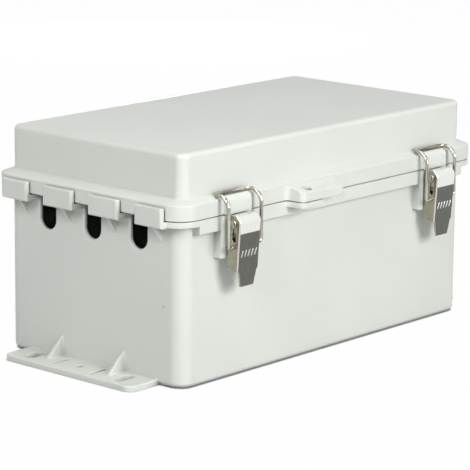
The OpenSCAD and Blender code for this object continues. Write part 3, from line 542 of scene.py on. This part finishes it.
def round_edges(source, width, kept):
    """Copy of a mesh with its sharp edges rounded, its former skin, and those edges with their middles.

    Edges whose middle is in kept and edges on the floor stay sharp.
    """
    build = joined_mesh(source)
    bmesh.ops.recalc_face_normals(build, faces=build.faces)
    skin = BVHTree.FromBMesh(build)
    sharp = []
    ends = []
    for edge in build.edges:
        start, end = (vert.co.copy() for vert in edge.verts)
        middle = tuple(round(value, EDGE_DIGITS) for value in (start + end) / 2)
        free = edge.is_manifold and middle not in kept and middle[2] > FLOOR_EDGE
        if free and edge.calc_face_angle(0.0) > EDGE_ANGLE:
            sharp.append(edge)
            ends.append((middle, start, end))
    bevel(build, sharp, width, EDGE_STEPS)
    return build, skin, ends


def stray_places(build, skin, low, high, width):
    """Places where a rounded mesh leaves its node's skin or box, or turns its back on it."""
    places = []
    for face in build.faces:
        centre = face.calc_center_median()
        _, normal, _, distance = skin.find_nearest(centre)
        if distance > STRAY_FACE_SHARE * width or face.normal.dot(normal) < STRAY_FACING:
            places.append(centre)
    for vert in build.verts:
        distance = skin.find_nearest(vert.co)[3]
        outside = any(not low[i] - WELD < vert.co[i] < high[i] + WELD for i in range(3))
        if distance > STRAY_SHARE * width or outside:
            places.append(vert.co.copy())
    return places


def distance_to(place, start, end):
    """Distance of a place from the line between start and end."""
    line = end - start
    share = (place - start).dot(line) / max(line.length_squared, WELD * WELD)
    return (start + line * min(max(share, 0.0), 1.0) - place).length


# Lever folds: the sheet's bend between the face or the rolled top and each cheek, as far as the end of the
# rolled sheet behind the pivot, given as a share of the roll's radius

FOLD_RADIUS = 1.1 * MM
FOLD_STEPS = 5
FOLD_END = math.cos(math.radians(75))
FOLD_MARGIN = 0.03 * MM
FLAT_ANGLE = math.radians(0.5)
LEVER_TILT = math.radians(4)


def folded_lever(side):
    """Copy of a lever's mesh with its outer folds bent round. The CAD has sharp corners there."""
    low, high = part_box(f"{side}_latch_lever")
    pivot_low, pivot_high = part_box(f"{side}_latch_pivot_pin")
    pivot = (pivot_low + pivot_high) / 2
    roll = pivot.y - low.y

    def on_fold(vert):
        back, up = vert.co.y - pivot.y, vert.co.z - pivot.z
        off_face = back + roll + math.tan(LEVER_TILT) * up
        off_skin = math.hypot(back, up) - roll if up > 0 else off_face
        off_side = min(vert.co.x - low.x, high.x - vert.co.x)
        return max(abs(off_skin), abs(off_side)) < FOLD_MARGIN and back < roll * FOLD_END + FOLD_MARGIN

    build = joined_mesh(nodes[f"{side}_latch_lever"].data)
    bmesh.ops.dissolve_limit(build, angle_limit=FLAT_ANGLE, verts=build.verts, edges=build.edges)
    folds = [edge for edge in build.edges
             if all(on_fold(vert) for vert in edge.verts) and edge.calc_face_angle(0.0) > EDGE_ANGLE]
    bevel(build, folds, FOLD_RADIUS, FOLD_STEPS)
    mesh = bpy.data.meshes.new(f"{side}_lever_folds")
    build.to_mesh(mesh)
    build.free()
    return mesh


def put_in_order(build):
    """Sorts corners and faces by place, since dissolving leaves them in a chance order."""
    for elements, place in ((build.verts, lambda vert: vert.co[:]),
                            (build.faces, lambda face: face.calc_center_median()[:])):
        rank = {element: i for i, element in enumerate(sorted(elements, key=place))}
        elements.sort(key=rank.get)


def soften(node_name, source, width, material):
    """Stand-in for a CAD node: its mesh with sharp edges rounded, save those that have no room for it."""
    low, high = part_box(node_name)
    kept = set()
    for attempt in range(EDGE_TRIES):
        build, skin, ends = round_edges(source, width, kept)
        places = stray_places(build, skin, low, high, width)
        crowded = {middle for middle, start, end in ends
                   if any(distance_to(place, start, end) < EDGE_REACH * width for place in places)}
        if not crowded or attempt == EDGE_TRIES - 1:
            break
        kept |= crowded
        build.free()
    for vert in build.verts:
        nearest, _, _, distance = skin.find_nearest(vert.co)
        if distance > STRAY_SHARE * width:
            vert.co = nearest
        vert.co = [min(max(vert.co[i], low[i]), high[i]) for i in range(3)]
    bmesh.ops.remove_doubles(build, verts=build.verts, dist=EDGE_WELD)
    bmesh.ops.dissolve_degenerate(build, edges=build.edges, dist=EDGE_WELD)
    bmesh.ops.dissolve_verts(build, verts=[vert for vert in build.verts if len(vert.link_edges) == 2])
    put_in_order(build)
    stand_in(node_name, build, material)


# Turned parts

ROUND_COUNT = 40
RIM_STEPS = 4


def side_axes(axis):
    """Two directions square to an axis and to each other."""
    helper = UP if axis.cross(UP).length else RIGHT
    across = helper.cross(axis).normalized()
    return across, axis.cross(across)


def ring(build, place, axis, along, radius, count=ROUND_COUNT):
    """Circle of corners round an axis, at a distance along it."""
    across, up = side_axes(axis)
    return [build.verts.new(place + axis * along + across * radius * math.cos(TURN * i / count)
                            + up * radius * math.sin(TURN * i / count)) for i in range(count)]


def bridge(build, first, second):
    """Faces between two closed rows of corners."""
    for i in range(len(first)):
        after = (i + 1) % len(first)
        build.faces.new((first[i], first[after], second[after], second[i]))


def turned(build, place, axis, profile):
    """Turned solid from pairs of (distance along the axis, radius), closed at both ends."""
    rings = [ring(build, place, axis, along, radius) for along, radius in profile]
    for first, second in zip(rings, rings[1:]):
        bridge(build, first, second)
    build.faces.new(rings[0])
    build.faces.new(rings[-1])


def round_rim(end, radius, edge):
    """Quarter-round of a turned profile, from its full radius to its end face."""
    points = []
    for i in range(RIM_STEPS + 1):
        angle = math.radians(90 - 90 * i / RIM_STEPS)
        points.append((end - edge + edge * math.cos(angle), radius - edge + edge * math.sin(angle)))
    return points


def cross_outline(span, width):
    """Outline of a cross recess."""
    a, b = span / 2, width / 2
    return [(a, -b), (a, b), (b, b), (b, a), (-b, a), (-b, b),
            (-a, b), (-a, -b), (-b, -b), (-b, -a), (b, -a), (b, -b)]


def slot_outline(span, width):
    """Outline of a screwdriver slot."""
    a, b = span / 2, width / 2
    return [(a, -b), (a, b), (-a, b), (-a, -b)]


# Screws: height of the head, radius of the shank, recess for the driver and its depth, and the radius of
# the head's edge. The chamfer at the tip is a share of the shank's radius.
LATCH_SCREW = {"head_t": 1.4 * MM, "shank_r": 1.5 * MM, "outline": cross_outline(2.6 * MM, 0.6 * MM),
               "depth": 0.9 * MM, "edge": 0.45 * MM}
PLATE_SCREW = {"head_t": 2.4 * MM, "shank_r": 2.0 * MM, "outline": cross_outline(3.8 * MM, 0.9 * MM),
               "depth": 1.5 * MM, "edge": 0.8 * MM}
TERMINAL_SCREW = {"head_t": 1.8 * MM, "shank_r": 1.6 * MM, "outline": slot_outline(3.2 * MM, 0.7 * MM),
                  "depth": 1.0 * MM, "edge": 0.3 * MM}
SCREW_TIP = 0.3


def screw(build, place, axis, head_r, shank_l, head_t, shank_r, outline, depth, edge):
    """Screw from the underside of its head: shank, head with a rounded edge and a driver recess."""
    across, up = side_axes(axis)
    tip = shank_r * SCREW_TIP
    profile = [(-shank_l, shank_r - tip), (-shank_l + tip, shank_r), (0, shank_r), (0, head_r)]
    profile += round_rim(head_t, head_r, edge)
    rings = [ring(build, place, axis, along, radius) for along, radius in profile]
    for first, second in zip(rings, rings[1:]):
        bridge(build, first, second)
    build.faces.new(rings[0])
    mouth = [build.verts.new(place + axis * head_t + across * u + up * v) for u, v in outline]
    bed = [build.verts.new(place + axis * (head_t - depth) + across * u + up * v) for u, v in outline]
    bridge(build, mouth, bed)
    build.faces.new(bed)
    edges = [build.edges.get((loop[i - 1], loop[i])) or build.edges.new((loop[i - 1], loop[i]))
             for loop in (rings[-1], mouth) for i in range(len(loop))]
    bmesh.ops.triangle_fill(build, edges=edges, use_beauty=True, use_dissolve=False)


def screw_set(node_name, axis, sizes):
    """All screws of one node, heads facing along the axis, placed by the boxes of their solids."""
    build = bmesh.new()
    across = side_axes(axis)[0]
    for low, high in solids(node_name):
        reach = abs((high - low).dot(axis))
        shank_l = reach - sizes["head_t"]
        head_r = abs((high - low).dot(across)) / 2
        seat = (low + high) / 2 + axis * (reach / 2 - sizes["head_t"])
        screw(build, seat, axis, head_r, shank_l, **sizes)
    stand_in(node_name, build, "screw")


# Pivot pins: shank and heads, with the share of a head's height that is domed and the flat on its crown
PIVOT_SHANK_R = 1.5 * MM
PIVOT_HEAD_R = 2.6 * MM
PIVOT_HEAD_T = 1.1 * MM
PIVOT_CROWN = 0.6
PIVOT_CROWN_STEPS = 6
PIVOT_FLAT = 0.12


def rivet_pin(node_name):
    """Pivot pin with a domed head at each end."""
    build = bmesh.new()
    low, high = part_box(node_name)
    middle = (low + high) / 2
    half = (high.x - low.x) / 2
    crown = PIVOT_HEAD_T * PIVOT_CROWN
    rim = half - crown
    seat = half - PIVOT_HEAD_T
    profile = [(seat, PIVOT_SHANK_R), (seat, PIVOT_HEAD_R), (rim, PIVOT_HEAD_R)]
    for i in range(1, PIVOT_CROWN_STEPS):
        angle = math.pi / 2 * i / PIVOT_CROWN_STEPS
        profile.append((rim + crown * math.sin(angle), PIVOT_HEAD_R * math.cos(angle)))
    profile.append((half, PIVOT_HEAD_R * PIVOT_FLAT))
    mirrored = [(-along, radius) for along, radius in reversed(profile)]
    turned(build, middle, RIGHT, mirrored + profile)
    stand_in(node_name, build, "pin")


HINGE_PIN_EDGE = 0.4 * MM


def straight_pin(node_name):
    """Plain pin with rounded ends."""
    build = bmesh.new()
    low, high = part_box(node_name)
    half = (high.x - low.x) / 2
    radius = (high.z - low.z) / 2
    end = round_rim(half, radius, HINGE_PIN_EDGE)
    start = [(-along, r) for along, r in reversed(end)]
    turned(build, (low + high) / 2, RIGHT, start + end)
    stand_in(node_name, build, "pin")


# Inserts: bore, knurl and the plain neck at each end, which lies below the knurl by a number of cuts
INSERT_BORE_R = 2.05 * MM
INSERT_TEETH = 24
INSERT_TOOTH_CORNERS = 4
INSERT_CUT = 0.2 * MM
INSERT_NECK_LENGTH = 1.2 * MM
INSERT_NECK_CUTS = 1.6


def knurled_inserts(node_name):
    """Brass inserts: a knurled sleeve between two plain necks, with a chamfered bore."""
    build = bmesh.new()
    count = INSERT_TOOTH_CORNERS * INSERT_TEETH
    wide_bore = INSERT_BORE_R + INSERT_CUT
    for low, high in solids(node_name):
        place = Vector(((low.x + high.x) / 2, (low.y + high.y) / 2, low.z))
        radius = (high.x - low.x) / 2
        length = high.z - low.z
        neck = radius - INSERT_NECK_CUTS * INSERT_CUT
        lower, upper = INSERT_NECK_LENGTH, length - INSERT_NECK_LENGTH
        levels = [(0, neck, False), (lower, neck, False), (lower, radius, True),
                  (upper, radius, True), (upper, neck, False), (length, neck, False),
                  (length, wide_bore, False), (length - INSERT_CUT, INSERT_BORE_R, False),
                  (INSERT_CUT, INSERT_BORE_R, False), (0, wide_bore, False)]
        rings = []
        for along, r, toothed in levels:
            loop = ring(build, place, UP, along, r, count)
            if toothed:
                for i, vert in enumerate(loop):
                    if i % INSERT_TOOTH_CORNERS < INSERT_TOOTH_CORNERS / 2:
                        vert.co -= (vert.co - place - UP * along).normalized() * INSERT_CUT
            rings.append(loop)
        for first, second in zip(rings, rings[1:] + rings[:1]):
            bridge(build, first, second)
    stand_in(node_name, build, "insert")


# Gasket: a soft strip with two sealing beads, swept round the lid's groove. The section gives shares of
# half the width, outwards, and of the height, upwards.

GASKET_CORNER = 12.0 * MM
GASKET_WIDTH = 4.9 * MM
GASKET_CORNER_STEPS = 12
GASKET_SECTION = [
    (-1.0, 1.0), (-1.0, 0.45), (-0.94, 0.22), (-0.80, 0.06), (-0.62, 0.0), (-0.44, 0.06), (-0.30, 0.20),
    (-0.12, 0.28), (0.12, 0.28), (0.30, 0.20), (0.44, 0.06), (0.62, 0.0), (0.80, 0.06), (0.94, 0.22),
    (1.0, 0.45), (1.0, 1.0),
]


def gasket_strip(node_name):
    build = bmesh.new()
    low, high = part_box(node_name)
    half = GASKET_WIDTH / 2
    long, wide = high.x - half, high.y - half
    stations = []
    for sx, sy, start in ((1, 1, 0), (-1, 1, 90), (-1, -1, 180), (1, -1, 270)):
        centre = Vector((sx * (long - GASKET_CORNER), sy * (wide - GASKET_CORNER), 0))
        for i in range(GASKET_CORNER_STEPS + 1):
            angle = math.radians(start + 90 * i / GASKET_CORNER_STEPS)
            out = Vector((math.cos(angle), math.sin(angle), 0))
            stations.append((centre + out * GASKET_CORNER, out))
    loops = []
    for point, out in stations:
        loops.append([build.verts.new(point + out * half * u + Vector((0, 0, low.z + (high.z - low.z) * v)))
                      for u, v in GASKET_SECTION])
    for first, second in zip(loops, loops[1:] + loops[:1]):
        bridge(build, first, second)
    stand_in(node_name, build, "gasket")


# Grip ribs: slanted bright ridges on each lever's face

RIB_COUNT = 5
RIB_PITCH = 3.3 * MM
RIB_SLANT = math.radians(20)
RIB_LENGTH = 5.4 * MM
RIB_WIDTH = 1.1 * MM
RIB_HEIGHT = 0.28 * MM
RIB_SINK = 0.05 * MM
RIB_Z = 89.0 * MM
RIB_STEPS = (10, 8)


def ridge(build, centre, along, across, out):
    """Low rounded ridge on a face."""
    rows, columns = RIB_STEPS
    grid = []
    for i in range(rows + 1):
        u = 2 * i / rows - 1
        line = []
        for j in range(columns + 1):
            v = 2 * j / columns - 1
            rise = (1 - u ** 4) * math.sqrt(max(0.0, 1 - v * v))
            line.append(build.verts.new(centre + along * RIB_LENGTH / 2 * u + across * RIB_WIDTH / 2 * v
                                        + out * (RIB_HEIGHT * rise - RIB_SINK)))
        grid.append(line)
    for i in range(rows):
        for j in range(columns):
            build.faces.new((grid[i][j], grid[i][j + 1], grid[i + 1][j + 1], grid[i + 1][j]))
    border = grid[0] + [line[-1] for line in grid[1:]]
    border += grid[-1][-2::-1] + [line[0] for line in grid[-2:0:-1]]
    foot = build.verts.new(centre - out * RIB_SINK)
    for i in range(len(border)):
        build.faces.new((border[i - 1], border[i], foot))


def grip_ribs(side):
    """Ribs on one lever. The face leans back by the lever's tilt from its front at the pivot's height."""
    node_name = f"{side}_latch_lever"
    low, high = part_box(node_name)
    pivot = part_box(f"{side}_latch_pivot_pin")
    pivot_z = (pivot[0].z + pivot[1].z) / 2
    face_y = low.y + math.tan(LEVER_TILT) * (pivot_z - RIB_Z)
    middle = Vector(((low.x + high.x) / 2, face_y, RIB_Z))
    out = Vector((0, -math.cos(LEVER_TILT), -math.sin(LEVER_TILT)))
    upward = out.cross(RIGHT)
    along = upward * math.cos(RIB_SLANT) + RIGHT * math.sin(RIB_SLANT)
    across = out.cross(along)
    build = bmesh.new()
    for i in range(RIB_COUNT):
        ridge(build, middle + RIGHT * RIB_PITCH * (i - (RIB_COUNT - 1) / 2), along, across, out)
    finish_piece(f"{side}_lever_ribs", build, "rib", body_name(node_name))


# Gate mark: the small round scar that moulding leaves on the left wall, its profile in millimetres

GATE_PLACE = Vector((-151.5, -65.5, 54.4)) * MM
GATE_PROFILE = [(-0.2, 1.5), (0.02, 1.5), (0.10, 1.4), (0.12, 1.2), (0.06, 0.9), (0.02, 0.5)]


def gate_mark():
    build = bmesh.new()
    profile = [(along * MM, radius * MM) for along, radius in GATE_PROFILE]
    turned(build, GATE_PLACE, -RIGHT, profile)
    finish_piece("gate_mark", build, "gate", "base")


new_camera()
for lamp_name, values in LAMPS.items():
    new_lamp(lamp_name, *values)
new_world()
new_floor()

materials = make_materials()
slots = {row["node"]: row["material_slot"] for row in frame["record"]["subparts"]}
for node_name, node in nodes.items():
    node.data.materials.clear()
    finish = "wire" if node_name.endswith("latch_bail") else slots[node_name]
    node.data.materials.append(materials[finish])
for node_name, width in EDGE_BREAKS.items():
    side, _, part = node_name.partition("_")
    if part == "latch_lever":
        soften(node_name, folded_lever(side), width, "lever")
    else:
        soften(node_name, nodes[node_name].data, width, slots[node_name])
for side in ("left", "right"):
    screw_set(f"{side}_latch_screws", FRONT, LATCH_SCREW)
    rivet_pin(f"{side}_latch_pivot_pin")
    straight_pin(f"hinge_pin_{side}")
    grip_ribs(side)
screw_set("plate_screws", UP, PLATE_SCREW)
screw_set("rail_screws", UP, PLATE_SCREW)
screw_set("terminal_screws", UP, TERMINAL_SCREW)
knurled_inserts("plate_inserts")
gasket_strip("lid_gasket")
gate_mark()

scene.view_settings.view_transform = "Standard"
